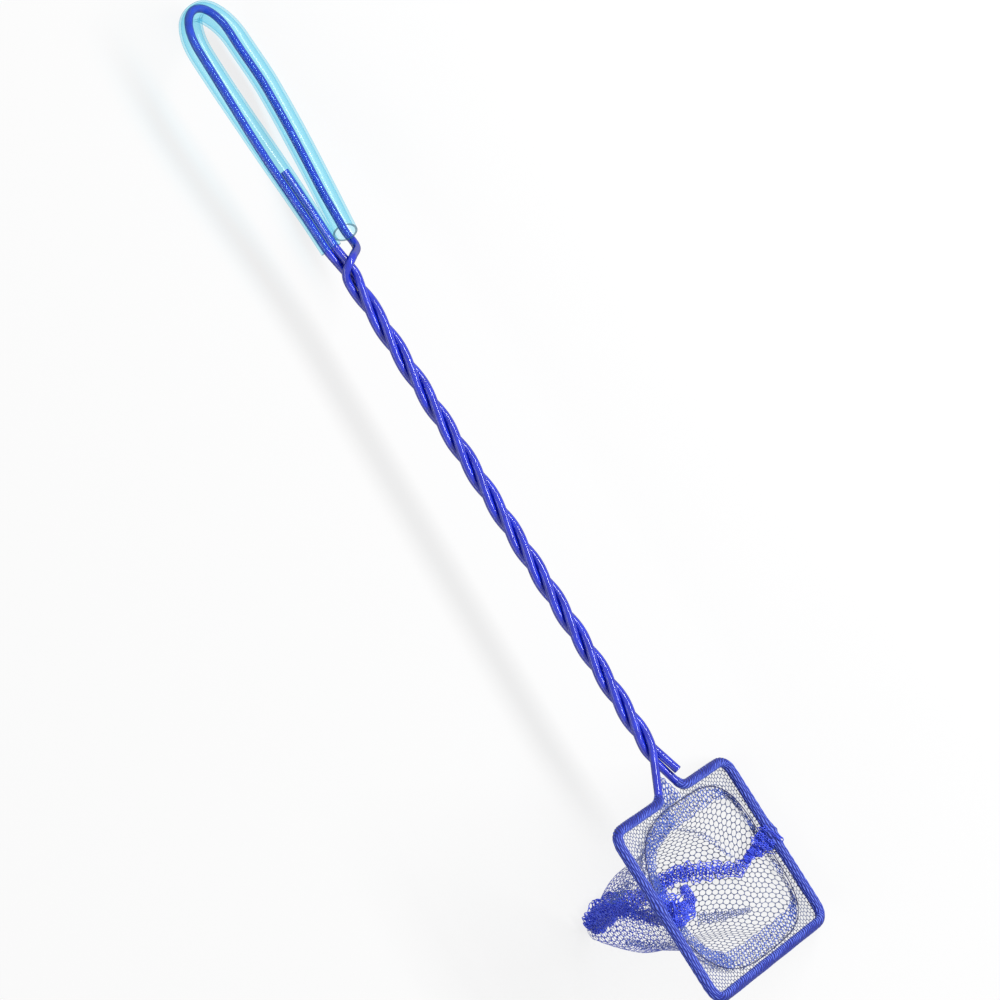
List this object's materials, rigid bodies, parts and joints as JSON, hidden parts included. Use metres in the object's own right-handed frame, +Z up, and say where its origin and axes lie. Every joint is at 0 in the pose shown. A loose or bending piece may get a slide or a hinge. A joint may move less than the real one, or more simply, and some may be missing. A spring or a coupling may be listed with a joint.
{
  "type": "aquarium fish net",
  "caption": "Small aquarium hand net: blue plastic-coated wire twisted into a handle, a clear tube on its grip loop, and a tapered blue netting bag on a rectangular mouth.",
  "frame": {"origin": "middle of the outline on the table, at the table's height, with the net lying on its side", "axes": "+X along the handle from the grip loop to the mouth, +Y towards the lower long bar of the mouth, +Z up from the table"},
  "size_m": [0.2292, 0.0446, 0.0424],
  "materials": {
    "steel_wire": "bare drawn wire, seen only at the cut ends",
    "blue_plastic": "smooth shiny vinyl coating",
    "clear_tube": "soft clear tube with a pale blue tint",
    "netting": "fine knitted nylon mesh"
  },
  "bodies": {
    "root": {"wire_core": "steel_wire", "wire_coating": "blue_plastic", "grip_tube": "clear_tube", "rim_hem": "netting", "bag_rear_half": "netting", "bag_front_half": "netting", "bag_seam": "netting"}
  },
  "joints": []
}
